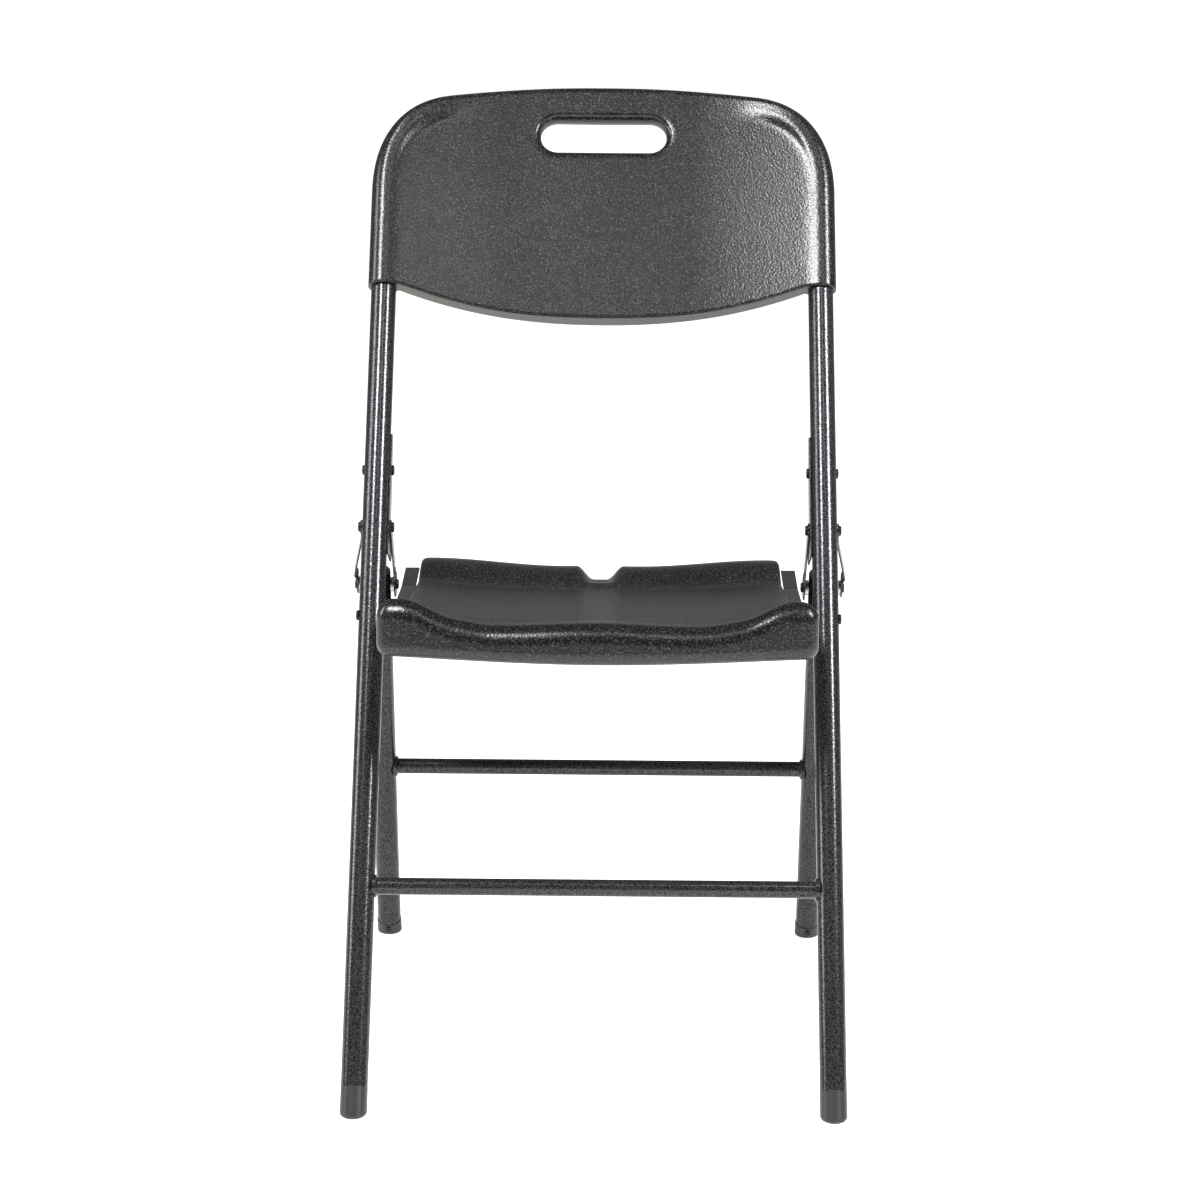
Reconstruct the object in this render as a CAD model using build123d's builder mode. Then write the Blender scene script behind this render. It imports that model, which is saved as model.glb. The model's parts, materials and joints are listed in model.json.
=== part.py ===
from build123d import *
import math
import os

# Folding chair: two straight tubes are front legs and back uprights in one piece. A plastic
# seat on steel rails turns on them, a pair of rear legs turns on the rails, and short links
# tie the tops of the rear legs to the uprights.
# Millimetres. +Z up, the sitter faces -Y, left is -X. The origin is on the floor at the
# middle of the chair's length and width.

# --- driving dimensions ---
tube_od = 25.0
tube_wall = 1.2
rail_od = 16.0
rail_wall = 1.2
half_span = 218.0            # from the middle of the chair to an upright's axis
lean = 30.0                  # uprights, degrees back from vertical
tube_top = 935.0             # upper end of an upright, measured along it from the floor
front_rail_up = 212.0        # front cross rail, along the upright
front_cap_height = 25.0      # along the upright

rear_foot_back = 522.0       # rear foot's axis behind the front foot's, on the floor
rear_splay_top = 2.0         # rear legs outside the uprights' line, at their link pivots
rear_splay_floor = 9.0
rear_rail_up = 230.0         # rear cross rail, along the rear leg
leg_end = 14.0               # rear leg above its link pivot
rear_cap_height = 19.0
rear_cap_wall = 0.6          # rear cap, outside its tube
rear_tube_start = 9.0        # lower end of the rear tube, along the leg
cap_rivet_up = 14.0
cap_rivet_r = 1.6
plug_depth = 9.0             # plug in the top of a rear leg
plug_cap = 2.5

seat_pivot_up = 476.5        # along the upright
seat_tilt = 4.0              # degrees down towards the rear
leg_pivot_back = 122.0       # rear leg's pivot behind the seat pivot, along the seat
fold_gap = 2.0               # between a folded rear leg and its upright
link_pivot_gap = 50.0        # along the rear leg, from its seat pivot to its link pivot
upright_link_setback = 5.0   # link pivot on the upright, behind the upright's axis

rivet_r = 3.0
head_r = 5.0
head_height = 2.4
run_gap = 0.05               # radial clearance of a turning rivet
side_gap = 0.2               # axial clearance beside a turning plate
link_thick = 1.6
gusset_thick = 1.5
gusset_gap = 0.1             # gusset plate to the upright's side
link_stand = 6.5             # an outer link's inner face outside the rear leg's side
link_width = 14.0
link_eye_r = 9.5             # round end of an outer link at the rear leg
inner_eye_r = 13.0
washer_r = 7.5
plug_length = 15.0           # front cap's plug inside the tube
gusset_rivet_up = 151.0      # along the upright, above the seat pivot
plate_corner = 3.5
joggle_near = 12.0           # an outer link bends outwards after this
joggle_far = 19.0            # and is out this far before its far pivot
joggle_over = 2.0
joggle_settle = 5.0

rail_gap = 6.5               # a seat rail's web inside the upright's side
rail_sheet = 1.8
rail_flange = 14.4           # width of its top flange
rail_top = 7.5               # top of the flange over the seat pivot
rail_front = -96.0
rail_foot = 39.0             # width of the bottom flange
rail_tab = 11.0              # the web's tab, below the leg pivot
bush_r = 5.5
weld_leg = 2.6
sole_round = 3.0

seat_gap = 4.0               # the front corners inside the uprights' sides
flange_gap = 0.4             # plastic to the top flange's edge, at the waist
seat_taper = 0.7             # how much narrower the rear edge is, on each side
seat_front = -150.0          # front corners, along the seat from its pivot
seat_nose = 17.0             # the front edge's bow
seat_rear = 205.0
seat_bottom = -16.0
seat_nose_bottom = -21.5     # underside of the rolled front edge
seat_skin = 3.0
waist_start = -122.0         # the sides draw in behind the front corners
waist_end = -98.0
seat_corner = 10.0
notch_mouth = 62.0           # drain notch in the rear edge, at the block's top
notch_floor = 9.0
notch_up = 9.5

sleeve_reach = 115.0         # the sleeves' lower ends below the uprights' upper ends
back_dip = 30.0              # how far the panel hangs below them in the middle
shoulder_rise = 100.0        # above the uprights' upper ends
back_crown = 14.0
sleeve_wall = 3.0
sleeve_lap = 6.0             # how far the panel runs into a sleeve
hollow_start = 12.0          # hollow inside the panel, above its lower edge
panel_front = 13.0           # front face ahead of the upright's axis, at the rim
panel_hollow = 16.0          # how much deeper it is in the middle
panel_rear = 8.0
panel_belly = 14.0           # how much the rear face bows out in the middle
back_skin = 3.0
handle_width = 128.0
handle_height = 36.0
handle_rise = 58.0           # above the uprights' upper ends
corner_reach = 78.0          # the top corners, across and down
corner_drop = 95.0
screw_r = 2.2
screw_head_r = 4.2
screw_head = 1.8
screw_inset = 19.0           # seat screws inside the rail's web
screw_depth = 10.0
screw_drops = (90.0, 30.0)   # backrest screws below the uprights' upper ends
screw_bite = 4.0             # how far a backrest screw reaches into its upright

# --- derived places, as points in the side view (distance back, height) ---
tube_r = tube_od / 2
rail_r = rail_od / 2
inner_face = half_span - tube_r
outer_face = half_span + tube_r
rear_span_top = half_span + rear_splay_top
rear_span_floor = half_span + rear_splay_floor
link_spread = rear_span_top + tube_r + link_stand    # inner face of an outer link at the leg
rail_outer = inner_face - rail_gap
rail_flange_in = rail_outer - rail_flange
rail_foot_in = rail_outer - rail_foot
screw_line = rail_outer - screw_inset
seat_front_half = inner_face - seat_gap
seat_waist_half = rail_flange_in - flange_gap
seat_rear_half = seat_waist_half - seat_taper
leg_pivot_drop = tube_od + fold_gap                  # below the seat pivot, square to the seat
back_bottom = tube_top - sleeve_reach
back_shoulder = tube_top + shoulder_rise
handle_up = tube_top + handle_rise
screw_heights = [tube_top - drop for drop in screw_drops]
sin_lean, cos_lean = math.sin(math.radians(lean)), math.cos(math.radians(lean))
sin_tilt, cos_tilt = math.sin(math.radians(seat_tilt)), math.cos(math.radians(seat_tilt))

rise_pivot = (seat_pivot_up * sin_lean, seat_pivot_up * cos_lean)
leg_rise = (rise_pivot[0] + leg_pivot_back * cos_tilt - leg_pivot_drop * sin_tilt,
            rise_pivot[1] - leg_pivot_back * sin_tilt - leg_pivot_drop * cos_tilt)
leg_length = math.hypot(rear_foot_back - leg_rise[0], leg_rise[1])
leg_sin = (rear_foot_back - leg_rise[0]) / leg_length
leg_cos = leg_rise[1] / leg_length
leg_slope = math.degrees(math.atan2(leg_sin, leg_cos))

# The chair's length runs from the front soles' front edges to the backrest's rear edge.
front_sole = tube_r / cos_lean
back_top = back_shoulder + back_crown
back_reach = back_top * sin_lean + (panel_rear + panel_belly) * cos_lean
front_y = (front_sole - back_reach) / 2


def side_point(back, up):
    return (front_y + back, up)


def on_upright(along, behind=0.0):
    return side_point(along * sin_lean + behind * cos_lean, along * cos_lean - behind * sin_lean)


def on_seat(back, up):
    return side_point(rise_pivot[0] + back * cos_tilt + up * sin_tilt,
                      rise_pivot[1] - back * sin_tilt + up * cos_tilt)


def on_leg(along):
    return side_point(rear_foot_back - along * leg_sin, along * leg_cos)


link_along = leg_length + link_pivot_gap
leg_top_along = link_along + leg_end
seat_pivot = on_upright(seat_pivot_up)
leg_pivot = on_seat(leg_pivot_back, -leg_pivot_drop)
leg_link_pivot = on_leg(link_along)

# Folded, seat and rear legs lie along the uprights. The link's pivot on the upright is where
# the same link reaches the leg open and folded.
folded_link_point = on_upright(seat_pivot_up + leg_pivot_back + link_pivot_gap, leg_pivot_drop)
chord = (folded_link_point[0] - leg_link_pivot[0], folded_link_point[1] - leg_link_pivot[1])
chord_mid = ((folded_link_point[0] + leg_link_pivot[0]) / 2,
             (folded_link_point[1] + leg_link_pivot[1]) / 2)
setback_start = on_upright(0, upright_link_setback)
link_pivot_up = (((chord_mid[0] - setback_start[0]) * chord[0]
                  + (chord_mid[1] - setback_start[1]) * chord[1])
                 / (sin_lean * chord[0] + cos_lean * chord[1]))
link_pivot = on_upright(link_pivot_up, upright_link_setback)
link_length = math.dist(link_pivot, leg_link_pivot)
link_turn = math.atan2(leg_link_pivot[1] - link_pivot[1], leg_link_pivot[0] - link_pivot[0])
link_turn_folded = math.atan2(folded_link_point[1] - link_pivot[1],
                              folded_link_point[0] - link_pivot[0])

seat_swing = 90 - lean + seat_tilt
leg_swing = -(90 + leg_slope + seat_tilt)
link_swing = math.degrees(link_turn_folded - link_turn)


def leg_x(along):
    return rear_span_floor + (rear_span_top - rear_span_floor) * along / link_along


# --- planes ---
def side_plane(x):
    """Side view at x: sketch x is +Y and sketch y is +Z; it extrudes towards +X."""
    return Plane(origin=(x, 0, 0), x_dir=(0, 1, 0), z_dir=(1, 0, 0))


def upright_plane(x, along):
    """Square to an upright: sketch x is X, sketch y points behind the upright."""
    y, z = on_upright(along)
    return Plane(origin=(x, y, z), x_dir=(1, 0, 0), z_dir=(0, sin_lean, cos_lean))


def seat_section(back):
    """Across the seat: sketch x is X, sketch y is up from the seat pivot."""
    y, z = on_seat(back, 0)
    return Plane(origin=(0, y, z), x_dir=(1, 0, 0), z_dir=(0, -cos_tilt, sin_tilt))


front_view = Plane(origin=(0, front_y, 0), x_dir=(1, 0, 0), z_dir=(0, -cos_lean, sin_lean))
seat_view = Plane(origin=(0, *seat_pivot), x_dir=(1, 0, 0), z_dir=(0, sin_tilt, cos_tilt))


def leg_plane(side, along):
    foot = Vector(side * rear_span_floor, *on_leg(0))
    top = Vector(side * rear_span_top, *on_leg(link_along))
    axis = (top - foot).normalized()
    return Plane(origin=foot + axis * along, x_dir=(1, 0, 0), z_dir=axis)


def save(builder, name):
    builder.part.label = name
    export_step(builder.part, f"parts/{name}.step")


os.makedirs("parts", exist_ok=True)
sides = ((-1, "left"), (1, "right"))
gusset_x = inner_face - gusset_gap - gusset_thick    # inner face of a gusset plate
link_x = gusset_x - side_gap - link_thick            # inner face of an inner link
outer_link_x = outer_face + side_gap                 # inner face of an outer link, at the upright
gusset_rivet = on_upright(seat_pivot_up + gusset_rivet_up, upright_link_setback)


def drill(points, radius):
    """Holes along X through everything."""
    with BuildSketch(side_plane(0)) as holes:
        with Locations(*points):
            Circle(radius)
    extrude(holes.sketch, amount=2 * half_span, both=True, mode=Mode.SUBTRACT)


def disc(side, point, near, far, outer, inner=0.0):
    """Disc or ring along X at point, between two distances from the middle."""
    with BuildSketch(side_plane(min(side * near, side * far))) as face:
        with Locations(point):
            Circle(outer)
            if inner:
                Circle(inner, mode=Mode.SUBTRACT)
    extrude(face.sketch, amount=far - near)


def plate(side, near, thick, outline, round_r):
    """Flat plate between two distances from the middle, with rounded corners."""
    with BuildSketch(side_plane(min(side * near, side * (near + thick)))) as face:
        with BuildLine():
            Polyline(*outline, close=True)
        make_face()
        fillet(face.vertices(), radius=round_r)
    extrude(face.sketch, amount=thick)


def rod(plane, radius, length, mode=Mode.ADD):
    """Round bar from a plane along its normal."""
    with BuildSketch(plane) as face:
        Circle(radius)
    extrude(face.sketch, amount=length, mode=mode)


def behind_plane(x, along, behind):
    """Plane facing backwards, square to an upright's rear side."""
    y, z = on_upright(along, behind)
    return Plane(origin=(x, y, z), x_dir=(1, 0, 0), z_dir=(0, cos_lean, -sin_lean))


# --- uprights and their feet ---
for side, word in sides:
    with BuildPart() as upright:
        rod(upright_plane(side * half_span, front_cap_height), tube_r,
            tube_top - front_cap_height)
        rod(upright_plane(side * half_span, front_cap_height), tube_r - tube_wall,
            tube_top - front_cap_height, Mode.SUBTRACT)
        drill([seat_pivot, link_pivot, gusset_rivet], rivet_r)
        for height in screw_heights:
            rod(behind_plane(side * half_span, height, 0), screw_r, tube_r, Mode.SUBTRACT)
    save(upright, f"front_tube_{word}")

    with BuildPart() as front_cap:
        rod(upright_plane(side * half_span, -tube_od), tube_r, tube_od + front_cap_height)
        split(bisect_by=Plane.XY, keep=Keep.TOP)
        fillet(front_cap.edges().group_by(Axis.Z)[0], radius=sole_round)
        rod(upright_plane(side * half_span, front_cap_height), tube_r - tube_wall, plug_length)
    save(front_cap, f"front_foot_cap_{word}")


# --- cross rails and their welds ---
def cope_to_uprights():
    for side in (-1, 1):
        rod(upright_plane(side * half_span, front_rail_up - 2 * tube_od), tube_r,
            4 * tube_od, Mode.SUBTRACT)


def cope_to_legs():
    for side in (-1, 1):
        rod(leg_plane(side, rear_rail_up - 2 * tube_od), tube_r, 4 * tube_od, Mode.SUBTRACT)


def cross_rail(name, y, z, reach, cope):
    """Round rail along X, its ends cut to fit the tubes."""
    with BuildPart() as rail:
        start = Plane(origin=(-reach, y, z), x_dir=(0, 1, 0), z_dir=(1, 0, 0))
        rod(start, rail_r, 2 * reach)
        rod(start, rail_r - rail_wall, 2 * reach, Mode.SUBTRACT)
        cope()
    save(rail, name)


def weld_beads(name, y, z, tube_side, cope):
    """Fillet weld round each end of a rail; tube_side is where the tube's side is."""
    with BuildPart() as beads:
        for side in (-1, 1):
            with BuildSketch(Plane.XY.offset(z)) as bead:
                with BuildLine():
                    Polyline((side * (tube_side - weld_leg), y + rail_r),
                             (side * (tube_side + weld_leg), y + rail_r),
                             (side * (tube_side + weld_leg), y + rail_r + weld_leg),
                             (side * (tube_side - 1), y + rail_r + weld_leg), close=True)
                make_face()
            revolve(bead.sketch, axis=Axis((0, y, z), (1, 0, 0)))
        cope()
    save(beads, name)


front_rail = on_upright(front_rail_up)
rear_rail = on_leg(rear_rail_up)
rear_rail_side = leg_x(rear_rail_up) - tube_r
cross_rail("front_cross_rail", *front_rail, half_span, cope_to_uprights)
weld_beads("front_rail_welds", *front_rail, inner_face, cope_to_uprights)
cross_rail("rear_cross_rail", *rear_rail, leg_x(rear_rail_up), cope_to_legs)
weld_beads("rear_rail_welds", *rear_rail, rear_rail_side, cope_to_legs)

# --- gusset plates beside the uprights, along and behind from the seat pivot ---
link_rise = link_pivot_up - seat_pivot_up
gusset_outline = ((link_rise - 29.9, -4), (gusset_rivet_up + 35, -4), (gusset_rivet_up + 37, 7),
                  (gusset_rivet_up - 11, 15), (link_rise + 14.1, 18), (link_rise + 0.1, 40),
                  (link_rise - 25.9, 34))
for side, word in sides:
    with BuildPart() as gusset:
        plate(side, gusset_x, gusset_thick,
              [on_upright(seat_pivot_up + along, behind) for along, behind in gusset_outline],
              plate_corner)
        drill([link_pivot, gusset_rivet], rivet_r)
    save(gusset, f"gusset_plate_{word}")


def rivet_pair(name, point, near, far):
    """A rivet on each side at point; its heads sit outside near and far."""
    with BuildPart() as pair:
        for side in (-1, 1):
            disc(side, point, near, far, rivet_r)
            disc(side, point, near - head_height, near, head_r)
            disc(side, point, far, far + head_height, head_r)
        tips = [edge for edge in pair.edges().filter_by(GeomType.CIRCLE)
                if any(abs(abs(edge.center().X) - tip) < 0.01
                       for tip in (near - head_height, far + head_height))]
        fillet(tips, radius=0.6 * head_height)
    save(pair, name)


def ring_pair(name, rings):
    """Bushes or washers on both sides; each ring is (point, near, far, outer radius)."""
    with BuildPart() as pair:
        for side in (-1, 1):
            for point, near, far, outer in rings:
                disc(side, point, near, far, outer, rivet_r + run_gap)
    save(pair, name)


rivet_pair("seat_pivot_rivets", seat_pivot, rail_outer - rail_sheet - side_gap, outer_face)
ring_pair("seat_pivot_bushes",
          [(seat_pivot, rail_outer + side_gap, inner_face - gusset_gap, bush_r + 1)])
rivet_pair("upright_link_rivets", link_pivot, link_x - side_gap / 2,
           outer_link_x + link_thick + side_gap / 2)
rivet_pair("gusset_rivets", gusset_rivet, gusset_x, outer_face)

# --- backrest ---
sleeve_r = tube_r + sleeve_wall
sleeve_in = half_span - sleeve_r
back_half = half_span + sleeve_r
corner_start = back_half - corner_reach
panel_edge = sleeve_in + sleeve_lap


def panel_slice(inset, start, length, mode):
    """Panel between its front and rear faces, moved inwards by inset."""
    edge = panel_edge - 5 * inset
    with BuildSketch(upright_plane(0, start)) as section:
        with BuildLine():
            front = ThreePointArc((-edge, inset - panel_front),
                                  (0, inset - panel_front + panel_hollow),
                                  (edge, inset - panel_front))
            rear = ThreePointArc((edge, panel_rear - inset),
                                 (0, panel_rear + panel_belly - inset),
                                 (-edge, panel_rear - inset))
            Line(front @ 1, rear @ 0)
            Line(rear @ 1, front @ 0)
        make_face()
    extrude(section.sketch, amount=length, mode=mode)


with BuildPart() as backrest:
    back_low = back_bottom - back_dip
    panel_slice(0, back_low, back_top - back_low, Mode.ADD)
    for side in (-1, 1):
        rod(upright_plane(side * half_span, back_low), sleeve_r, back_top - back_low)
    with BuildSketch(front_view):
        with BuildLine():
            crown = ThreePointArc((-corner_start, back_shoulder), (0, back_top),
                                  (corner_start, back_shoulder))
            right = TangentArc(crown @ 1, (back_half, back_shoulder - corner_drop),
                               tangent=crown % 1)
            left = TangentArc(crown @ 0, (-back_half, back_shoulder - corner_drop),
                              tangent=-(crown % 0))
            Polyline(right @ 1, (back_half, back_bottom), (sleeve_in, back_bottom))
            ThreePointArc((sleeve_in, back_bottom), (0, back_low), (-sleeve_in, back_bottom))
            Polyline((-sleeve_in, back_bottom), (-back_half, back_bottom), left @ 1)
        make_face()
    extrude(amount=2 * sleeve_r, both=True, mode=Mode.INTERSECT)
    panel_slice(back_skin, back_bottom + hollow_start,
                handle_up - handle_height - back_bottom - hollow_start, Mode.SUBTRACT)
    with BuildSketch(front_view):
        with Locations((0, handle_up)):
            SlotOverall(handle_width, handle_height)
    extrude(amount=2 * sleeve_r, both=True, mode=Mode.SUBTRACT)
    for side in (-1, 1):
        rod(upright_plane(side * half_span, back_low), tube_r, tube_top - back_low,
            Mode.SUBTRACT)
        for height in screw_heights:
            rod(behind_plane(side * half_span, height, 0), screw_r, 2 * sleeve_r, Mode.SUBTRACT)
save(backrest, "backrest")

with BuildPart() as back_screws:
    for side in (-1, 1):
        for height in screw_heights:
            shank = tube_wall + sleeve_wall + screw_bite
            rod(behind_plane(side * half_span, height, sleeve_r - shank), screw_r, shank)
            rod(behind_plane(side * half_span, height, sleeve_r), screw_head_r, screw_head)
save(back_screws, "backrest_screws")

# --- seat: hollow blow-moulded plastic, dished, with a raised rear edge ---
# Height of the top over the seat pivot, at five distances behind it and five across.
screw_spots = (-80.0, -20.0, 60.0)
across = (0.0, 70.0, 125.0, 165.0, seat_front_half + 4)
dish = {seat_front - seat_nose - 10: (10.0, 9.0, 16.0, 25.0, 20.0),
        seat_front + 8: (20.0, 18.5, 22.0, 33.0, 31.0),
        seat_front + 60: (15.0, 15.5, 18.0, 24.0, 24.0),
        0.0: (9.5, 10.5, 13.0, 17.0, 19.0),
        110.0: (7.0, 8.0, 11.0, 15.0, 17.0),
        seat_rear - 28: (18.0, 19.5, 22.5, 26.0, 26.0),
        seat_rear - 10: (23.5, 25.0, 28.0, 31.5, 31.0),
        seat_rear + 5: (22.0, 23.5, 26.5, 30.0, 29.5)}
block_top = 45.0


def slab(plane, half_wide, low, high, length, mode):
    """Block centred on a plane: between two heights, extruded by length."""
    with BuildSketch(plane) as face:
        with Locations((0, (low + high) / 2)):
            Rectangle(2 * half_wide, high - low)
    extrude(face.sketch, amount=length, mode=mode)


with BuildPart() as seat:
    with BuildSketch(seat_view.offset(seat_nose_bottom)):
        with BuildLine():
            ThreePointArc((-seat_front_half, seat_front), (0, seat_front - seat_nose),
                          (seat_front_half, seat_front))
            for side in (-1, 1):
                Line((side * seat_front_half, seat_front), (side * seat_front_half, waist_start))
                Spline((side * seat_front_half, waist_start), (side * seat_waist_half, waist_end),
                       tangents=[(0, 1), (0, 1)])
                Line((side * seat_waist_half, waist_end), (side * seat_rear_half, seat_rear))
            Line((-seat_rear_half, seat_rear), (seat_rear_half, seat_rear))
        make_face()
    extrude(amount=block_top - seat_nose_bottom)
    fillet(seat.edges().filter_by(Axis(seat_view.origin, seat_view.z_dir)), radius=seat_corner)
    for back, heights in dish.items():
        with BuildSketch(seat_section(back)):
            with BuildLine():
                shape = [(x, height) for x, height in zip(across, heights)]
                Spline(*[(-x, height) for x, height in shape[:0:-1]], *shape)
                Polyline((across[-1], heights[-1]), (across[-1], block_top + 5),
                         (-across[-1], block_top + 5), (-across[-1], heights[-1]))
            make_face()
    loft(ruled=True, mode=Mode.SUBTRACT)
    slab(seat_section(seat_rear + 5), seat_front_half + 5, seat_nose_bottom - 5, seat_bottom,
         seat_rear + 5 - rail_front, Mode.SUBTRACT)
    with BuildSketch(seat_section(seat_rear + 5)):
        with BuildLine():
            Polyline((-notch_floor / 2, notch_up), (notch_floor / 2, notch_up),
                     (notch_mouth / 2, block_top), (-notch_mouth / 2, block_top), close=True)
        make_face()
    extrude(amount=60, mode=Mode.SUBTRACT)
    slab(seat_section(110), seat_waist_half - 12, seat_bottom + seat_skin, 4, 200, Mode.SUBTRACT)
    with BuildSketch(seat_view.offset(seat_bottom)):
        with Locations(*[(side * screw_line, back) for side, _ in sides for back in screw_spots]):
            Circle(screw_r)
    extrude(amount=screw_depth, mode=Mode.SUBTRACT)
save(seat, "seat")

with BuildPart() as seat_screws:
    spots = [(side * screw_line, back) for side, _ in sides for back in screw_spots]
    with BuildSketch(seat_view.offset(seat_bottom - rail_sheet)):
        with Locations(*spots):
            Circle(screw_r)
    extrude(amount=rail_sheet + screw_depth)
    with BuildSketch(seat_view.offset(seat_bottom - rail_sheet)):
        with Locations(*spots):
            Circle(screw_head_r)
    extrude(amount=-screw_head)
save(seat_screws, "seat_screws")

# --- seat rails: a web, a top flange beside the plastic and a foot under it ---
rail_outline = ((rail_front, rail_top), (70, rail_top), (125, 12), (seat_rear - 25, 24),
                (seat_rear - 17, 20), (seat_rear - 22, 8),
                (leg_pivot_back + 24, 13 - leg_pivot_drop),
                (leg_pivot_back + 24, -leg_pivot_drop - rail_tab),
                (leg_pivot_back - 20, -leg_pivot_drop - rail_tab),
                (leg_pivot_back - 30, seat_bottom - rail_sheet),
                (rail_front, seat_bottom - rail_sheet))
flange_line = ((rail_front, rail_top), (70, rail_top), (125, 12), (seat_rear - 25, 24))
foot_span = (rail_front, leg_pivot_back - 34)
for side, word in sides:
    with BuildPart() as seat_rail:
        plate(side, rail_outer - rail_sheet, rail_sheet,
              [on_seat(back, up) for back, up in rail_outline], 2)
        with BuildSketch(side_plane(min(side * rail_flange_in, side * rail_outer))):
            with BuildLine():
                Polyline(*[on_seat(back, up) for back, up in flange_line],
                         *[on_seat(back, up - rail_sheet) for back, up in flange_line[::-1]],
                         close=True)
            make_face()
        extrude(amount=rail_outer - rail_flange_in)
        with BuildSketch(seat_view.offset(seat_bottom - rail_sheet)):
            with Locations((side * (rail_foot_in + rail_outer) / 2, sum(foot_span) / 2)):
                Rectangle(rail_outer - rail_foot_in, foot_span[1] - foot_span[0])
            with Locations(*[(side * screw_line, back) for back in screw_spots]):
                Circle(screw_r, mode=Mode.SUBTRACT)
        extrude(amount=rail_sheet)
        drill([seat_pivot], rivet_r + run_gap)
        drill([leg_pivot], rivet_r)
    save(seat_rail, f"seat_rail_{word}")

rivet_pair("leg_pivot_rivets", leg_pivot, rail_outer - rail_sheet,
           leg_x(leg_length) + tube_r + side_gap)
ring_pair("leg_pivot_bushes",
          [(leg_pivot, rail_outer, leg_x(leg_length) - tube_r - side_gap, bush_r)])

# --- rear legs ---
inner_link_face = link_x + link_thick
washer_in = leg_x(link_along) - tube_r
washer_out = leg_x(link_along) + tube_r
for side, word in sides:
    with BuildPart() as rear_leg:
        rod(leg_plane(side, rear_tube_start), tube_r, leg_top_along - rear_tube_start)
        rod(leg_plane(side, rear_tube_start), tube_r - tube_wall,
            leg_top_along - rear_tube_start, Mode.SUBTRACT)
        drill([leg_pivot], rivet_r + run_gap)
        drill([leg_link_pivot], rivet_r)
        front_side = leg_plane(side, cap_rivet_up)
        toward_front = Plane(origin=front_side.origin, x_dir=(1, 0, 0),
                             z_dir=(0, -leg_cos, -leg_sin))
        rod(toward_front, cap_rivet_r, tube_od, Mode.SUBTRACT)
    save(rear_leg, f"rear_leg_{word}")

    with BuildPart() as rear_cap:
        rod(leg_plane(side, -tube_od), tube_r + rear_cap_wall, tube_od + rear_cap_height)
        split(bisect_by=Plane.XY, keep=Keep.TOP)
        fillet(rear_cap.edges().group_by(Axis.Z)[0], radius=sole_round)
        rod(leg_plane(side, rear_tube_start), tube_r, rear_cap_height, Mode.SUBTRACT)
        rod(toward_front, cap_rivet_r, tube_od, Mode.SUBTRACT)
    save(rear_cap, f"rear_foot_cap_{word}")

with BuildPart() as cap_rivets:
    for side in (-1, 1):
        centre = leg_plane(side, cap_rivet_up).origin
        for start, radius, length in ((tube_r - tube_wall, cap_rivet_r, tube_wall + rear_cap_wall),
                                      (tube_r + rear_cap_wall, 1.8 * cap_rivet_r, 1.4)):
            rod(Plane(origin=centre + Vector(0, -leg_cos, -leg_sin) * start, x_dir=(1, 0, 0),
                      z_dir=(0, -leg_cos, -leg_sin)), radius, length)
save(cap_rivets, "rear_cap_rivets")

with BuildPart() as leg_plugs:
    for side in (-1, 1):
        rod(leg_plane(side, leg_top_along - plug_depth), tube_r - tube_wall, plug_depth)
        rod(leg_plane(side, leg_top_along), tube_r, plug_cap)
    fillet(leg_plugs.edges().filter_by(GeomType.CIRCLE).group_by(Axis.Z)[-1], radius=plug_cap / 2)
save(leg_plugs, "rear_leg_plugs")

# The link rivet is in two parts: a shank in the leg, and heads on the links.
with BuildPart() as link_shanks:
    for side in (-1, 1):
        disc(side, leg_link_pivot, inner_link_face + side_gap, link_spread - side_gap, rivet_r)
save(link_shanks, "leg_link_shanks")
with BuildPart() as washers:
    for side in (-1, 1):
        disc(side, leg_link_pivot, inner_link_face + side_gap, washer_in - side_gap, washer_r,
             rivet_r)
        disc(side, leg_link_pivot, washer_out + side_gap, link_spread - side_gap, washer_r,
             rivet_r)
save(washers, "leg_link_washers")

# --- links ---
link_dir = (math.cos(link_turn), math.sin(link_turn))


def link_face(side, near, far, eye_r):
    """Side view of a link: a bar from pivot to pivot with a larger eye at the rear leg."""
    with BuildSketch(side_plane(min(side * near, side * far))) as face:
        middle = ((link_pivot[0] + leg_link_pivot[0]) / 2, (link_pivot[1] + leg_link_pivot[1]) / 2)
        with Locations(middle):
            SlotCenterToCenter(link_length, link_width, rotation=math.degrees(link_turn))
        with Locations(leg_link_pivot):
            Circle(eye_r)
        with Locations(link_pivot):
            Circle(rivet_r + run_gap, mode=Mode.SUBTRACT)
    return face.sketch


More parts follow.
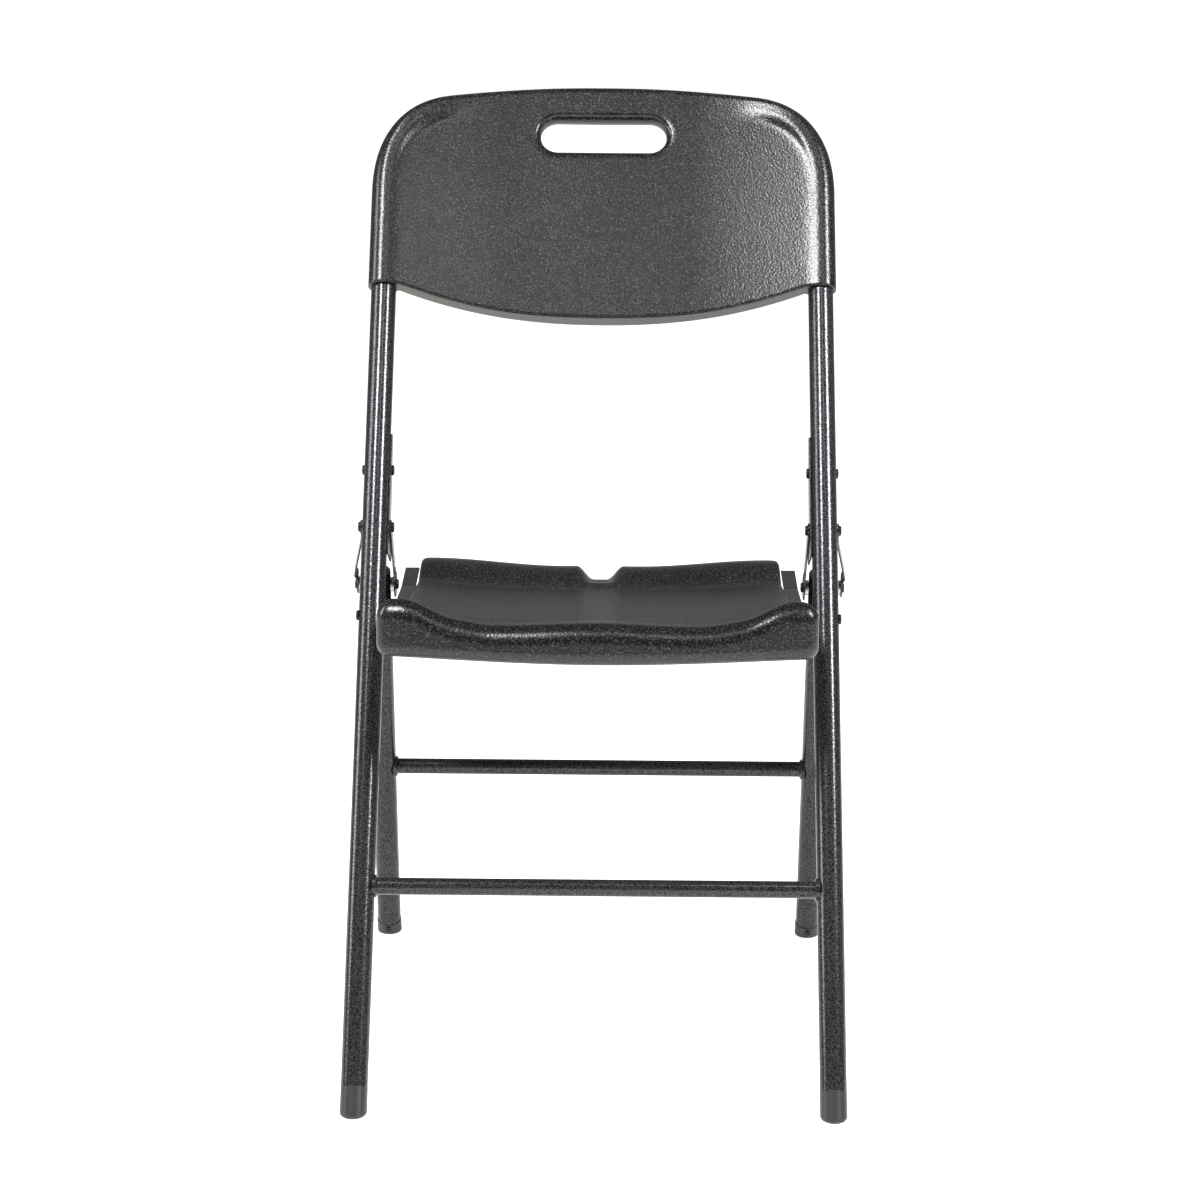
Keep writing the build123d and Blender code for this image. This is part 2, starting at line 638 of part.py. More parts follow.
for side, word in sides:
    with BuildPart() as inner_link:
        extrude(link_face(side, link_x, inner_link_face, inner_eye_r), amount=link_thick)
    save(inner_link, f"inner_link_{word}")

    with BuildPart() as outer_link:
        joggle = ((-link_width, outer_link_x), (joggle_near, outer_link_x),
                  (link_length - joggle_far, link_spread + joggle_over),
                  (link_length - joggle_far + joggle_settle, link_spread),
                  (link_length + link_width, link_spread))
        along_link = Plane(origin=(0, *link_pivot), x_dir=(0, *link_dir),
                           z_dir=(0, link_dir[1], -link_dir[0]))
        with BuildSketch(along_link):
            with BuildLine():
                Polyline(*[(along, side * x) for along, x in joggle],
                         *[(along, side * (x + link_thick)) for along, x in joggle[::-1]],
                         close=True)
            make_face()
        extrude(amount=link_width, both=True)
        extrude(link_face(side, outer_face - 5, link_spread + 10, link_eye_r),
                amount=link_spread + 15 - outer_face, mode=Mode.INTERSECT)
    save(outer_link, f"outer_link_{word}")

    with BuildPart() as heads:
        disc(side, leg_link_pivot, link_x - head_height, link_x, head_r)
        disc(side, leg_link_pivot, link_spread + link_thick,
             link_spread + link_thick + head_height, head_r)
        tips = [edge for edge in heads.edges().filter_by(GeomType.CIRCLE)
                if any(abs(abs(edge.center().X) - tip) < 0.01
                       for tip in (link_x - head_height, link_spread + link_thick + head_height))]
        fillet(tips, radius=0.6 * head_height)
    save(heads, f"link_rivet_heads_{word}")

print(f"front_y {front_y:.4f}  seat swing {seat_swing:.4f}  leg swing {leg_swing:.4f}"
      f"  link swing {link_swing:.4f}")
for label, (y, z) in (("seat pivot", seat_pivot), ("leg pivot", leg_pivot),
                      ("link pivot", link_pivot), ("link at leg", leg_link_pivot)):
    print(f"{label}: y {y:.4f} z {z:.4f}")
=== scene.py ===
import json
import math

import bmesh
import bpy
import numpy as np
from mathutils import Matrix, Vector


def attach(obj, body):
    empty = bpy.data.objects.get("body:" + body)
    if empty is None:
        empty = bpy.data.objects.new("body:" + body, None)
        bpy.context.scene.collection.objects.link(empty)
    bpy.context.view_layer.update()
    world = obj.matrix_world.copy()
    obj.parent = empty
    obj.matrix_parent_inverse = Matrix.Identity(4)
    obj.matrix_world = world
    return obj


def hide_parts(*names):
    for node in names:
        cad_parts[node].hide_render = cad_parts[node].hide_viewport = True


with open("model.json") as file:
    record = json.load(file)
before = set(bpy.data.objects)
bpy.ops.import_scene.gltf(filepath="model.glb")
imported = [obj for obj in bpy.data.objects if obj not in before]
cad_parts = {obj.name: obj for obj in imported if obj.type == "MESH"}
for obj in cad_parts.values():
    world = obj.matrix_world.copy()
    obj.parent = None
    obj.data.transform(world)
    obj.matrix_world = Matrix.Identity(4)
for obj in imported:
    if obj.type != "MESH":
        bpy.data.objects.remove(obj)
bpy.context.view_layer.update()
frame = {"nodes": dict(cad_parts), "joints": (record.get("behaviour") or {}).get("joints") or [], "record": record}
mm = 0.001

# The fold's hinge gives the chair's side view: the seat turns on the uprights, and the
# uprights lean back through its pivot from their feet on the floor.
joints = {joint["name"]: joint for joint in frame["joints"]}
seatPivot = Vector(joints["seat_fold"]["pos_m"])
lean = math.radians(30)
seatTilt = math.radians(4)
frontY = seatPivot.y - seatPivot.z * math.tan(lean)


def hexColour(text):
    # sRGB hex to the linear colour that shaders want
    parts = [int(text[i:i + 2], 16) / 255 for i in (1, 3, 5)]
    return [c / 12.92 if c < 0.04045 else ((c + 0.055) / 1.055) ** 2.4 for c in parts] + [1]


def addNode(tree, kind, settings=None, links=None):
    # one node; settings are its own fields or its inputs, links are input: source socket
    node = tree.nodes.new(kind)
    for name, value in (settings or {}).items():
        if isinstance(name, str) and hasattr(node, name):
            setattr(node, name, value)
        else:
            node.inputs[name].default_value = value
    for name, source in (links or {}).items():
        tree.links.new(source, node.inputs[name])
    return node


def startMaterial(name, shaderSettings):
    material = bpy.data.materials.new(name)
    material.use_nodes = True
    tree = material.node_tree
    tree.nodes.clear()
    shader = addNode(tree, "ShaderNodeBsdfPrincipled", shaderSettings)
    addNode(tree, "ShaderNodeOutputMaterial", links={"Surface": shader.outputs[0]})
    coords = addNode(tree, "ShaderNodeTexCoord").outputs["Object"]
    return material, tree, shader, coords


def coverSurface(tree, shader, look, share, height):
    # the share of light colour in the dark, and the relief, go into the shader
    colour = addNode(tree, "ShaderNodeMix",
                     {"data_type": "RGBA", 6: hexColour(look["dark"]), 7: hexColour(look["light"])},
                     {0: share})
    bump = addNode(tree, "ShaderNodeBump", {"Strength": 1.0, "Distance": look["depth"]},
                   {"Height": height})
    tree.links.new(colour.outputs[2], shader.inputs["Base Color"])
    tree.links.new(bump.outputs[0], shader.inputs["Normal"])


plasticLook = {"dark": "#010101", "light": "#414144", "roughness": 0.25, "depth": 0.16 * mm,
               "pebble": 2.4 * mm, "speck": 1.8 * mm, "pebbleShare": 0.6,
               "patchesPerMetre": 14, "patchShare": 0.08, "speckFrom": 0.54, "speckTo": 0.78}


def makeMouldedPlastic():
    # blow-moulded polyethylene with the mould's pebbled grain: satin, with fine specks that
    # glint where it turns to a light; the grain is drawn about twice as coarse, so it shows
    look = plasticLook
    material, tree, shader, coords = startMaterial("blowMouldedPolyethylene",
                                                   {"Roughness": look["roughness"], "IOR": 1.54})
    pebbles = addNode(tree, "ShaderNodeTexVoronoi",
                      {"feature": "SMOOTH_F1", "Scale": 1 / look["pebble"], "Smoothness": 0.6},
                      {"Vector": coords})
    specks = addNode(tree, "ShaderNodeTexNoise", {"Scale": 1 / look["speck"], "Detail": 2.0},
                     {"Vector": coords})
    patches = addNode(tree, "ShaderNodeTexNoise", {"Scale": look["patchesPerMetre"], "Detail": 3.0},
                      {"Vector": coords})
    height = addNode(tree, "ShaderNodeMath", {"operation": "MULTIPLY_ADD", 1: look["pebbleShare"]},
                     {0: pebbles.outputs["Distance"], 2: specks.outputs["Fac"]})
    tone = addNode(tree, "ShaderNodeMath", {"operation": "MULTIPLY_ADD", 1: look["patchShare"]},
                   {0: patches.outputs["Fac"], 2: specks.outputs["Fac"]})
    share = addNode(tree, "ShaderNodeMapRange",
                    {"From Min": look["speckFrom"], "From Max": look["speckTo"]},
                    {"Value": tone.outputs[0]})
    coverSurface(tree, shader, look, share.outputs[0], height.outputs[0])
    return material


paintLook = {"dark": "#161719", "light": "#505154", "roughness": 0.2, "metallic": 0.55,
             "depth": 0.06 * mm, "dimple": 2.6 * mm, "flake": 1.5 * mm, "flakeShare": 0.5,
             "flakeFrom": 0.35, "flakeTo": 0.7}


def makeHammertone():
    # steel tube with hammertone powder coat: dimpled, with metallic flake that glitters in the
    # streaks of light along the tubes; the flake is drawn coarser than it is, so it shows
    look = paintLook
    material, tree, shader, coords = startMaterial(
        "hammertonePowderCoat", {"Roughness": look["roughness"], "Metallic": look["metallic"]})
    dimples = addNode(tree, "ShaderNodeTexVoronoi",
                      {"feature": "SMOOTH_F1", "Scale": 1 / look["dimple"], "Smoothness": 0.8},
                      {"Vector": coords})
    flakes = addNode(tree, "ShaderNodeTexNoise", {"Scale": 1 / look["flake"], "Detail": 1.0},
                     {"Vector": coords})
    height = addNode(tree, "ShaderNodeMath", {"operation": "MULTIPLY_ADD", 1: look["flakeShare"]},
                     {0: flakes.outputs["Fac"], 2: dimples.outputs["Distance"]})
    share = addNode(tree, "ShaderNodeMapRange",
                    {"From Min": look["flakeFrom"], "From Max": look["flakeTo"]},
                    {"Value": flakes.outputs["Fac"]})
    coverSurface(tree, shader, look, share.outputs[0], height.outputs[0])
    return material


plainLooks = {
    # smooth and satin, a shade warmer than the seat
    "injectionMouldedPolypropylene": {"dark": "#2b2b2c", "light": "#353434", "cloud": 9 * mm,
                                      "depth": 0.05 * mm,
                                      "shader": {"Roughness": 0.36, "IOR": 1.49}},
    # turned bushes, black, with only a soft shine
    "mouldedNylon": {"dark": "#161617", "light": "#202021", "cloud": 5 * mm, "depth": 0.02 * mm,
                     "shader": {"Roughness": 0.45, "IOR": 1.53}},
    # washers, bright and faintly streaked
    "zincPlatedSteel": {"dark": "#a7a9a9", "light": "#c9cbca", "cloud": 1.5 * mm,
                        "depth": 0.02 * mm, "shader": {"Roughness": 0.28, "Metallic": 1.0}},
    # rivets and screws, dark metal with a dull gleam on their crowned heads
    "blackOxideSteel": {"dark": "#1b1b1c", "light": "#2b2b2c", "cloud": 1.2 * mm,
                        "depth": 0.03 * mm, "shader": {"Roughness": 0.34, "Metallic": 0.6}},
}


def makePlain(name):
    # a smooth finish that is never quite even: faint clouding in its colour and surface
    look = plainLooks[name]
    material, tree, shader, coords = startMaterial(name, look["shader"])
    cloud = addNode(tree, "ShaderNodeTexNoise", {"Scale": 1 / look["cloud"], "Detail": 3.0},
                    {"Vector": coords}).outputs["Fac"]
    coverSurface(tree, shader, look, cloud, cloud)
    return material


print("materials")
materials = {"moulded_plastic": makeMouldedPlastic(), "frame_paint": makeHammertone(),
             "foot_plastic": makePlain("injectionMouldedPolypropylene"),
             "bush_nylon": makePlain("mouldedNylon"), "zinc_steel": makePlain("zincPlatedSteel"),
             "black_steel": makePlain("blackOxideSteel")}


def onUpright(x, along, behind):
    # a place on the slanted plane of the uprights, all in metres
    return Vector((x, frontY + along * math.sin(lean) + behind * math.cos(lean),
                   along * math.cos(lean) - behind * math.sin(lean)))


def onSeat(x, rear, up):
    # a place behind and above the seat's pivot, square to the tilted seat, in metres
    return seatPivot + Vector((x, rear * math.cos(seatTilt) + up * math.sin(seatTilt),
                               up * math.cos(seatTilt) - rear * math.sin(seatTilt)))


def roundDrop(inset, radius):
    # how far a rounded edge has fallen, inset from its outer line
    gap = np.clip(radius - inset, 0, radius)
    return radius - np.sqrt(radius ** 2 - gap ** 2)


def smoothStep(low, high, value):
    share = np.clip((value - low) / (high - low), 0, 1)
    return share * share * (3 - 2 * share)


def smoothMax(first, second, softness):
    return 0.5 * (first + second + np.sqrt((first - second) ** 2 + softness ** 2))


def roundSteps(radius, first, count):
    # distances in from an edge that are even in angle round it
    return radius * (1 - np.cos(np.radians(np.linspace(first, 90, count))))


def lineDistance(points, line):
    # shortest distance from each point to a polyline
    best = np.full(len(points), np.inf)
    for start, end in zip(line[:-1], line[1:]):
        run = end - start
        if not run.any():
            continue
        share = np.clip(((points - start) @ run) / (run @ run), 0, 1)
        best = np.minimum(best, np.linalg.norm(points - start - share[:, None] * run, axis=1))
    return best


def arcPoints(centre, radius, fromDegrees, toDegrees, count):
    angles = np.radians(np.linspace(fromDegrees, toDegrees, count))
    return np.column_stack((centre[0] + radius * np.cos(angles),
                            centre[1] + radius * np.sin(angles)))


def alongLine(line, count):
    # count points at even spacing along a polyline, its last one left out
    line = np.asarray(line, float)
    steps = np.concatenate(([0], np.cumsum(np.linalg.norm(np.diff(line, axis=0), axis=1))))
    wanted = np.linspace(0, steps[-1], count, endpoint=False)
    return np.column_stack([np.interp(wanted, steps, line[:, k]) for k in (0, 1)])


def addMirrored(half):
    # the right half of a loop, with its own mirror image to close it
    return np.vstack((half, half[-2:0:-1] * np.array((-1, 1))))


def countSteps(angles, count):
    # angles round a full turn as whole steps
    return np.round(angles / (2 * math.pi) * count).astype(int) % count


def placeVertices(mesh, toPlace, flat, heights):
    for vertex, (x, along), height in zip(mesh.verts, flat, heights):
        vertex.co = toPlace(x * mm, along * mm, height * mm)


def finishPiece(name, mesh, slotName, body, replaced):
    # a bmesh becomes a smooth-shaded piece that rides on a body
    bmesh.ops.remove_doubles(mesh, verts=mesh.verts, dist=0.01 * mm)
    bmesh.ops.dissolve_degenerate(mesh, dist=0.01 * mm, edges=mesh.edges)
    bmesh.ops.recalc_face_normals(mesh, faces=mesh.faces)
    data = bpy.data.meshes.new(name)
    mesh.to_mesh(data)
    mesh.free()
    data.shade_smooth()
    data.materials.append(materials[slotName])
    piece = bpy.data.objects.new(name, data)
    bpy.context.scene.collection.objects.link(piece)
    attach(piece, body)
    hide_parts(*replaced)


# Backrest, in mm: across from the middle, and along the uprights from the floor. Heights are
# ahead of the uprights' plane. The rim is half-round and runs on down into the sleeves.
back = {"half": 233.5, "sleeve": 15.5, "bottom": 820, "dip": 30, "dipPower": 2.3,
        "crown": 1049, "crownPower": 2.4, "shoulder": (150, 1036.5), "sideTop": 925,
        "cornerPull": 0.62, "slotUp": 993, "slotHalf": 46, "slotRadius": 18, "lip": 6.5,
        "panelMiddle": -3, "panelRise": 16, "rearEdge": 8, "rearBelly": 14, "crease": 1.6,
        "rimFadeFrom": 105, "rimFadeTo": 205, "topRound": 8.5, "topRoundUp": 1032,
        "lowRound": 2.2,
        "creaseRings": (17.5, 19.5, 21.5, 23, 24.2, 25.2, 26.2, 27.5, 29.5, 32.5),
        "rimMost": 0.6, "lipMost": 0.2, "panelRings": 28, "wallRings": 7,
        "crownSteps": 26, "sideSteps": 84, "endSteps": 16, "lowSteps": 52}
sleeveIn = back["half"] - 2 * back["sleeve"]


def lowEdge(x):
    # the panel's lower edge hangs in an arch between the sleeves
    share = np.clip(np.abs(x) / sleeveIn, 0, 1)
    return back["bottom"] - back["dip"] * (1 - share ** back["dipPower"])


def backOutline():
    # right half of the outline: crown, side with its corner, and lower edge
    shoulder, sideTop = np.array(back["shoulder"]), np.array((back["half"], back["sideTop"]))
    fall = back["crown"] - shoulder[1]
    crown = [(x, back["crown"] - fall * (x / shoulder[0]) ** back["crownPower"])
             for x in np.linspace(0, shoulder[0], 24)]
    slope = back["crownPower"] * fall / shoulder[0]
    across, down = back["cornerPull"] * (sideTop[0] - shoulder[0]), shoulder[1] - sideTop[1]
    first = shoulder + across * np.array((1, -slope))
    second = sideTop + np.array((0, back["cornerPull"] * down))
    side = [crown[-1]]
    for share in np.linspace(0, 1, 40)[1:]:
        rest = 1 - share
        side.append(tuple(rest ** 3 * shoulder + 3 * rest * rest * share * first
                          + 3 * rest * share * share * second + share ** 3 * sideTop))
    side.append((back["half"], back["bottom"]))
    lower = [(x, lowEdge(x)) for x in np.linspace(sleeveIn, 0, 40)]
    return crown, side, lower


def backLoops():
    # the outline and the slot, step for step beside each other
    crown, side, lower = backOutline()
    outer = np.vstack((alongLine(crown, back["crownSteps"]), alongLine(side, back["sideSteps"]),
                       alongLine([side[-1], lower[0]], back["endSteps"]),
                       alongLine(lower, back["lowSteps"]), [lower[-1]]))
    radius, half, up = back["slotRadius"], back["slotHalf"], back["slotUp"]
    inner = np.vstack((alongLine([(0, up + radius), (half, up + radius)], back["crownSteps"]),
                       alongLine(arcPoints((half, up), radius, 90, -90, 60),
                                 back["sideSteps"] + back["endSteps"]),
                       alongLine([(half, up - radius), (0, up - radius)], back["lowSteps"]),
                       [(0, up - radius)]))
    return addMirrored(outer), addMirrored(inner)


def backRings(length):
    # shares of the way in from outline to slot, closest together on the rim and the lip;
    # each takes no more than its share of the length where the two are near
    rim = np.concatenate((roundSteps(back["sleeve"], 0, 13), back["creaseRings"]))
    lip = roundSteps(back["lip"], 0, 7)
    rimFit = np.minimum(1, back["rimMost"] * length / rim[-1])
    lipFit = np.minimum(1, back["lipMost"] * length / lip[-1])
    rimShare = np.outer(rimFit, rim) / length[:, None]
    lipShare = np.outer(lipFit, lip) / length[:, None]
    fromRim, fromLip = rimShare[:, -1:], lipShare[:, -1:]
    middle = np.linspace(0, 1, back["panelRings"] + 2)[1:-1]
    bridge = fromRim + (1 - fromLip - fromRim) * middle
    return np.hstack((rimShare, bridge, 1 - lipShare[:, ::-1]))


def backHeights(flat):
    # middle height and half thickness of the panel at each place
    x, along = np.abs(flat[:, 0]), flat[:, 1]
    crown, side, _ = backOutline()
    pastMiddle, pastLow = (-crown[3][0], crown[3][1]), (back["half"], back["bottom"] - 60)
    edge = lineDistance(np.column_stack((x, along)),
                        np.array([pastMiddle] + crown + side + [pastLow]))
    slotGap = np.hypot(np.maximum(x - back["slotHalf"], 0), along - back["slotUp"])
    slotGap = slotGap - back["slotRadius"]
    rimR = back["sleeve"]
    rim = np.sqrt(np.clip(rimR ** 2 - np.clip(edge - rimR, 0, rimR) ** 2, 0, None))
    rim = rim * smoothStep(back["rimFadeFrom"], back["rimFadeTo"], x)
    bow = (x / sleeveIn) ** 2
    front = smoothMax(rim, back["panelMiddle"] + back["panelRise"] * bow, back["crease"])
    rear = smoothMax(rim, back["rearEdge"] + back["rearBelly"] * (1 - bow), back["crease"])
    nearTop = smoothStep(back["sideTop"], back["topRoundUp"], along)
    roundR = back["topRound"] + (rimR - back["topRound"]) * (1 - nearTop)
    swell = np.sqrt(1 - np.clip(1 - edge / roundR, 0, 1) ** 2)
    lipSwell = np.sqrt(1 - np.clip(1 - slotGap / back["lip"], 0, 1) ** 2)
    aboveLow = np.clip(along - lowEdge(x), 0, None)
    halfThick = (front + rear) / 2 * swell * lipSwell
    halfThick = halfThick - roundDrop(aboveLow, back["lowRound"]) * swell
    return (front - rear) / 2, halfThick


def makeBackrest():
    outer, inner = backLoops()
    inward = backRings(np.linalg.norm(outer - inner, axis=1))
    around, rings, wall = len(outer), inward.shape[1], back["wallRings"]
    section = 2 * rings + wall

    # a ring of quads is spun from a loop, and each vertex goes to its place by its two counts
    mesh = bmesh.new()
    bmesh.ops.create_circle(mesh, segments=section, radius=1)
    bmesh.ops.rotate(mesh, cent=(0, 0, 0), verts=mesh.verts,
                     matrix=Matrix.Rotation(math.pi / 2, 3, "X"))
    spinRadius = 3
    bmesh.ops.translate(mesh, vec=(spinRadius, 0, 0), verts=mesh.verts)
    bmesh.ops.spin(mesh, geom=mesh.verts[:] + mesh.edges[:], axis=(0, 0, 1), cent=(0, 0, 0),
                   angle=2 * math.pi, steps=around, use_merge=True)
    spun = np.array([vertex.co for vertex in mesh.verts])
    outward = np.hypot(spun[:, 0], spun[:, 1]) - spinRadius
    i = countSteps(np.arctan2(spun[:, 1], spun[:, 0]), around)
    j = countSteps(np.arctan2(spun[:, 2], outward), section)

    # the front's rings come first, then the slot's or the outline's wall, then the rear's
    onFront = j < rings
    onWall = (j >= rings) & (j < rings + wall)
    ring = np.where(onFront, rings - 1 - j, j - rings - wall)
    ring = np.where(onWall, 0, ring)
    share = inward[i, ring][:, None]
    flat = outer[i] * (1 - share) + inner[i] * share
    middle, halfThick = backHeights(flat)
    toFront = np.where(onFront, 1.0, -1.0)
    toFront = np.where(onWall, 1 - 2 * (j - rings + 1) / (wall + 1), toFront)
    placeVertices(mesh, onUpright, flat, -(middle + halfThick * toFront))
    finishPiece("backrestShell", mesh, "moulded_plastic", "front_frame", ["backrest"])


# Seat, in mm: across from the middle, behind the seat's pivot, and up from it. "nose" is the
# front edge's bow, "lip" the raised rear edge and "notch" the drain notch in it.
seat = {"rear": 205, "rearHalf": 183.5, "rearCorner": 10, "waistHalf": 184.2, "waistFrom": -98,
        "waistTo": -122, "frontHalf": 201.5, "front": -150, "frontCorner": 13, "nose": 17,
        "noseStep": 2,
        "bottom": -16, "noseBottom": -21.5, "noseBottomReach": 260, "floor": 8, "sideRise": 9,
        "sidePower": 2.6, "sideHalf": 185, "rampFrom": 136, "rampTo": 190, "lipMiddle": 24.5,
        "lipCorner": 7.5, "lipFrom": 40, "lipTo": 172, "noseHigh": 16.5, "noseDip": 3.0,
        "dipTo": 90, "thighRise": 7, "thighFrom": 95, "thighTo": 150, "cornerRise": 15.5,
        "cornerFrom": 132, "cornerTo": 180, "rollFrom": -142, "rollTo": -78, "edgeRound": 5,
        "noseRound": 17, "edgeUnder": 4, "noseUnder": 11, "noseStart": -128, "noseEnd": -100,
        "notchFloor": 6, "notchMouth": 24, "notchUp": 10, "notchFrom": 150, "notchTo": 172,
        "notchSide": 48, "hub": 30,
        "edgeReach": 18, "edgeRings": (20, 22.5, 25.5, 29, 33, 37.5, 42.5, 48, 54),
        "floorRings": 21, "wallRings": 8}


def seatOutline():
    # right half of the plan, from the middle of the rear edge to the middle of the nose
    radius = seat["rearCorner"]
    rearCorner = arcPoints((seat["rearHalf"] - radius, seat["rear"] - radius), radius, 90, 0, 12)
    widen, back = seat["frontHalf"] - seat["waistHalf"], seat["waistTo"] - seat["waistFrom"]
    flare = [(seat["waistHalf"] + widen * smoothStep(0, 1, s), seat["waistFrom"] + back * s)
             for s in np.linspace(0, 1, 14)]
    radius = seat["frontCorner"]
    centre = (seat["frontHalf"] - radius, seat["front"] + radius - seat["noseStep"])
    frontCorner = arcPoints(centre, radius, 0, -80, 14)
    startX, start = frontCorner[-1]
    bow = seat["nose"] - seat["noseStep"]
    nose = [(startX * (1 - s), start - bow * (1 - (1 - s) ** 2)) for s in np.linspace(0, 1, 30)]
    return rearCorner, flare, frontCorner, nose


def seatHeights(flat):
    # top and underside at each place of the plan
    x, rear = np.abs(flat[:, 0]), flat[:, 1]
    rearCorner, flare, frontCorner, nose = seatOutline()
    overMiddle = -12.0                      # both ends of the line run on past the middle
    line = np.vstack(([(overMiddle, seat["rear"])], rearCorner, flare, frontCorner, nose,
                      [(overMiddle, nose[-1][1])]))
    edge = lineDistance(np.column_stack((x, rear)), line)

    floor = seat["floor"] + seat["sideRise"] * (x / seat["sideHalf"]) ** seat["sidePower"]
    lip = seat["lipMiddle"] + seat["lipCorner"] * smoothStep(seat["lipFrom"], seat["lipTo"], x)
    high = floor + (lip - floor) * smoothStep(seat["rampFrom"], seat["rampTo"], rear)
    nosePlace = (seat["noseHigh"] - seat["noseDip"] * smoothStep(0, seat["dipTo"], x)
                 + seat["thighRise"] * smoothStep(seat["thighFrom"], seat["thighTo"], x)
                 + seat["cornerRise"] * smoothStep(seat["cornerFrom"], seat["cornerTo"], x))
    high = high + (nosePlace - high) * (1 - smoothStep(seat["rollFrom"], seat["rollTo"], rear))
    isNose = 1 - smoothStep(seat["noseStart"], seat["noseEnd"], rear)
    high = high - roundDrop(edge, seat["edgeRound"]
                            + (seat["noseRound"] - seat["edgeRound"]) * isNose)
    notch = 1 - smoothStep(seat["notchFloor"], seat["notchMouth"], x)
    notch = notch * smoothStep(seat["notchFrom"], seat["notchTo"], rear)
    high = high - np.maximum(high - seat["notchUp"], 0) * notch

    deeper = (seat["noseBottom"] - seat["bottom"]) * isNose
    low = seat["bottom"] + deeper * smoothStep(0, 1, 1 - x / seat["noseBottomReach"])
    low = low + roundDrop(edge, seat["edgeUnder"]
                          + (seat["noseUnder"] - seat["edgeUnder"]) * isNose)
    return high, low


def makeSeat():
    rearCorner, flare, frontCorner, nose = seatOutline()
    notchSide = [(0, seat["rear"]), (seat["notchSide"], seat["rear"])]
    outline = addMirrored(np.vstack((
        alongLine(notchSide, 34), alongLine([notchSide[-1], rearCorner[0]], 32),
        alongLine(rearCorner, 10), alongLine([rearCorner[-1], flare[0]], 46),
        alongLine(flare, 14), alongLine([flare[-1], *frontCorner], 18),
        alongLine(nose, 66), [nose[-1]])))
    hub = np.array((0.0, seat["hub"]))
    edgeSteps = np.concatenate(((0,), roundSteps(seat["edgeReach"], 8, 14), seat["edgeRings"]))
    edgeShare = edgeSteps / np.linalg.norm(outline - hub, axis=1)[:, None]
    toHub = np.linspace(0, 1, seat["floorRings"] + 1)[1:]
    inward = np.hstack((edgeShare, edgeShare[:, -1:] + (1 - edgeShare[:, -1:]) * toHub))
    around, topRings, wall = len(outline), inward.shape[1], seat["wallRings"]
    rings = 2 * topRings + wall - 1

    # a ball of quads is pressed into the seat: its poles are the hub's top and underside
    mesh = bmesh.new()
    bmesh.ops.create_uvsphere(mesh, u_segments=around, v_segments=rings, radius=1)
    ball = np.array([vertex.co for vertex in mesh.verts])
    i = countSteps(np.arctan2(ball[:, 1], ball[:, 0]), around)
    j = np.round(np.arccos(np.clip(ball[:, 2], -1, 1)) / math.pi * rings).astype(int)

    onTop = j < topRings
    onWall = (j >= topRings) & (j <= rings - topRings)
    ring = np.where(onTop, topRings - 1 - j, j - (rings - topRings) - 1)
    ring = np.where(onWall, 0, ring)
    share = inward[i, np.clip(ring, 0, topRings - 1)][:, None]
    flat = outline[i] * (1 - share) + hub * share
    high, low = seatHeights(flat)
    wallShare = (j - topRings + 1) / (wall + 1)
    up = np.where(onTop, high, low)
    up = np.where(onWall, high + (low - high) * wallShare, up)
    placeVertices(mesh, onSeat, flat, up)
    finishPiece("seatShell", mesh, "moulded_plastic", "seat_unit", ["seat"])


print("backrest")
makeBackrest()
print("seat")
makeSeat()

print("steel and small parts")
for entry in frame["record"]["subparts"]:
    node = frame["nodes"][entry["node"]]
    node.data.materials.clear()
    node.data.materials.append(materials[entry["material_slot"]])

# The floor and the backdrop look white to the camera, and throw less light on the chair.
studio = {"floorHalf": 30.0, "floorColour": "#f7f6f3", "floorRoughness": 0.7,
          "floorTint": "#fffaf2", "floorGlow": 0.42, "backdrop": "#ffffff", "ambient": 0.23,
          "seen": 1.0, "aim": (0, 0, 0.5)}
lamps = {"key": {"from": (2.2, -1.15, 2.5), "size": (0.35, 1.3), "power": 110},
         "left": {"from": (-2.8, -0.3, 1.7), "size": (0.8, 2.0), "power": 45},
         "front": {"from": (-1.25, -1.8, 3.45), "size": (0.45, 1.1), "power": 100},
         "fill": {"from": (0.5, -1.9, 3.5), "size": (0.3, 0.8), "power": 6}}


def seenStrength(tree, cast):
    # full strength to the camera, a lower one to everything that it lights
    toCamera = addNode(tree, "ShaderNodeLightPath").outputs["Is Camera Ray"]
    return addNode(tree, "ShaderNodeMapRange", {"To Min": cast, "To Max": studio["seen"]},
                   {"Value": toCamera}).outputs[0]


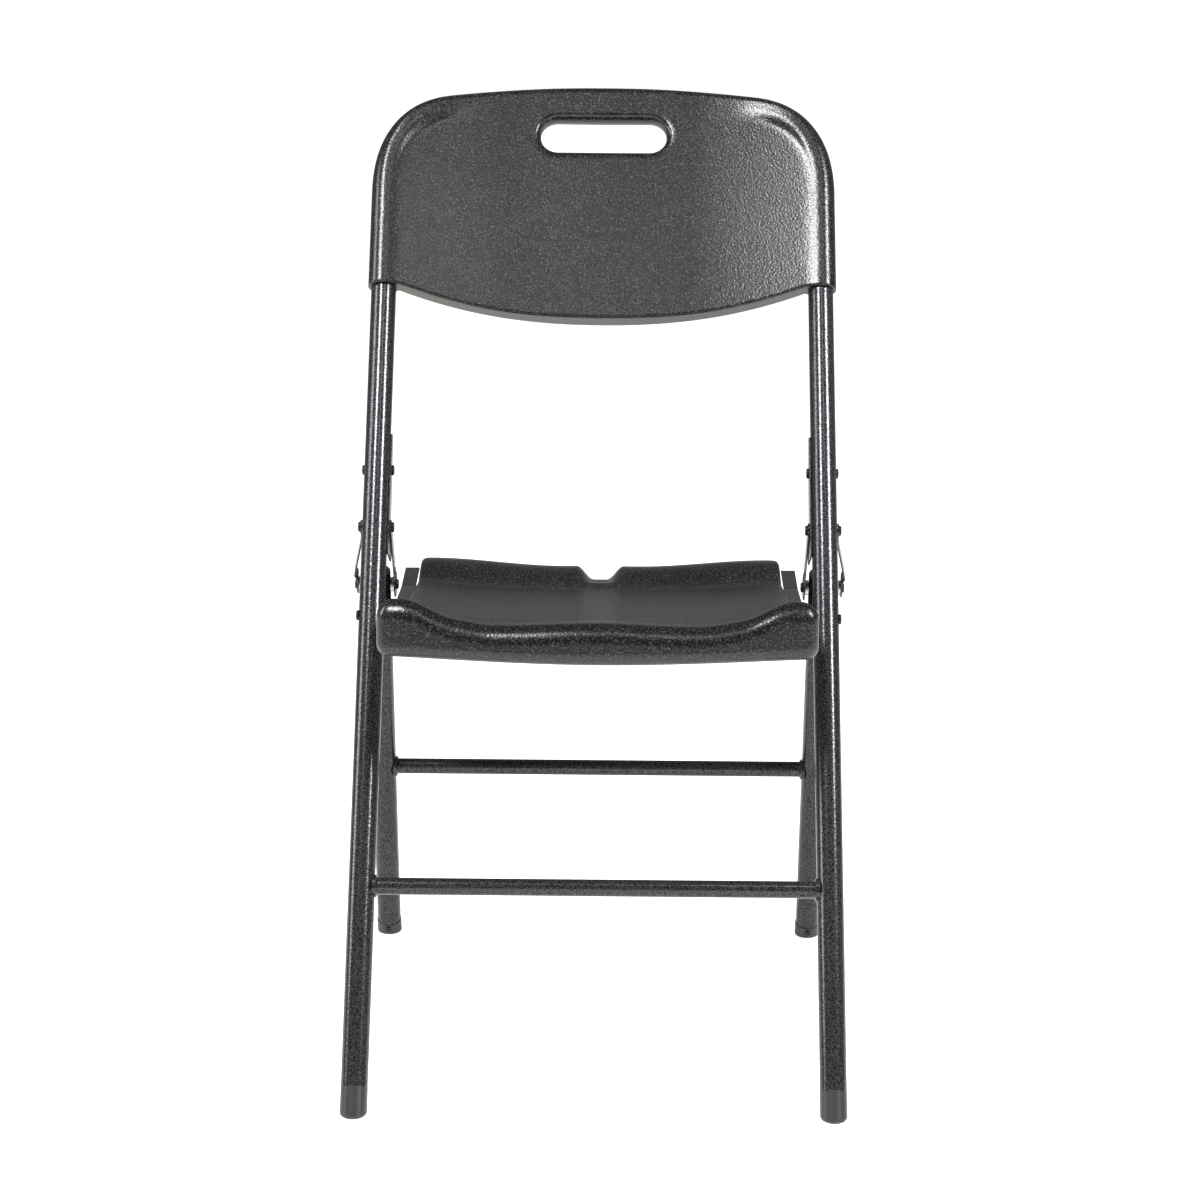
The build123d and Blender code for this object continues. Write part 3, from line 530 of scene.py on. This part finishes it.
def makeFloor():
    material, tree, shader, _ = startMaterial("paleFloor", {
        "Base Color": hexColour(studio["floorColour"]), "Roughness": studio["floorRoughness"],
        "Emission Color": hexColour(studio["floorTint"])})
    tree.links.new(seenStrength(tree, studio["floorGlow"]), shader.inputs["Emission Strength"])
    mesh = bmesh.new()
    bmesh.ops.create_grid(mesh, x_segments=1, y_segments=1, size=studio["floorHalf"])
    data = bpy.data.meshes.new("floor")
    mesh.to_mesh(data)
    mesh.free()
    data.materials.append(material)
    floor = bpy.data.objects.new("floor", data)
    bpy.context.scene.collection.objects.link(floor)


def lightStudio():
    world = bpy.data.worlds.new("studio")
    bpy.context.scene.world = world
    world.use_nodes = True
    tree = world.node_tree
    background = tree.nodes["Background"]
    background.inputs["Color"].default_value = hexColour(studio["backdrop"])
    tree.links.new(seenStrength(tree, studio["ambient"]), background.inputs["Strength"])
    for name, settings in lamps.items():
        data = bpy.data.lights.new(name, "AREA")
        data.shape = "RECTANGLE"
        data.size, data.size_y = settings["size"]
        data.energy = settings["power"]
        lamp = bpy.data.objects.new(name, data)
        lamp.location = settings["from"]
        toAim = Vector(studio["aim"]) - lamp.location
        lamp.rotation_euler = toAim.to_track_quat("-Z", "Y").to_euler()
        bpy.context.scene.collection.objects.link(lamp)


# The camera stands ahead of the front feet's line and to one side of the middle, looking down.
view = {"side": 16.9 * mm, "ahead": 2389 * mm, "up": 981.9 * mm, "down": 11.87, "turn": 0.343,
        "roll": 0.416, "lens": 84, "sensor": 36}


def setCamera():
    down, turn, roll = (math.radians(view[key]) for key in ("down", "turn", "roll"))
    look = Vector((-math.sin(turn) * math.cos(down), math.cos(turn) * math.cos(down),
                   -math.sin(down)))
    right = look.cross(Vector((0, 0, 1))).normalized()
    upward = right.cross(look)
    data = bpy.data.cameras.new("camera")
    data.lens, data.sensor_width = view["lens"], view["sensor"]
    camera = bpy.data.objects.new("camera", data)
    stand = Matrix((right * math.cos(roll) + upward * math.sin(roll),
                    upward * math.cos(roll) - right * math.sin(roll), -look))
    stand = stand.transposed().to_4x4()
    stand.translation = Vector((view["side"], frontY - view["ahead"], view["up"]))
    camera.matrix_world = stand
    bpy.context.scene.collection.objects.link(camera)
    bpy.context.scene.camera = camera
    bpy.context.scene.view_settings.view_transform = "Standard"


print("floor, light and camera")
makeFloor()
lightStudio()
setCamera()
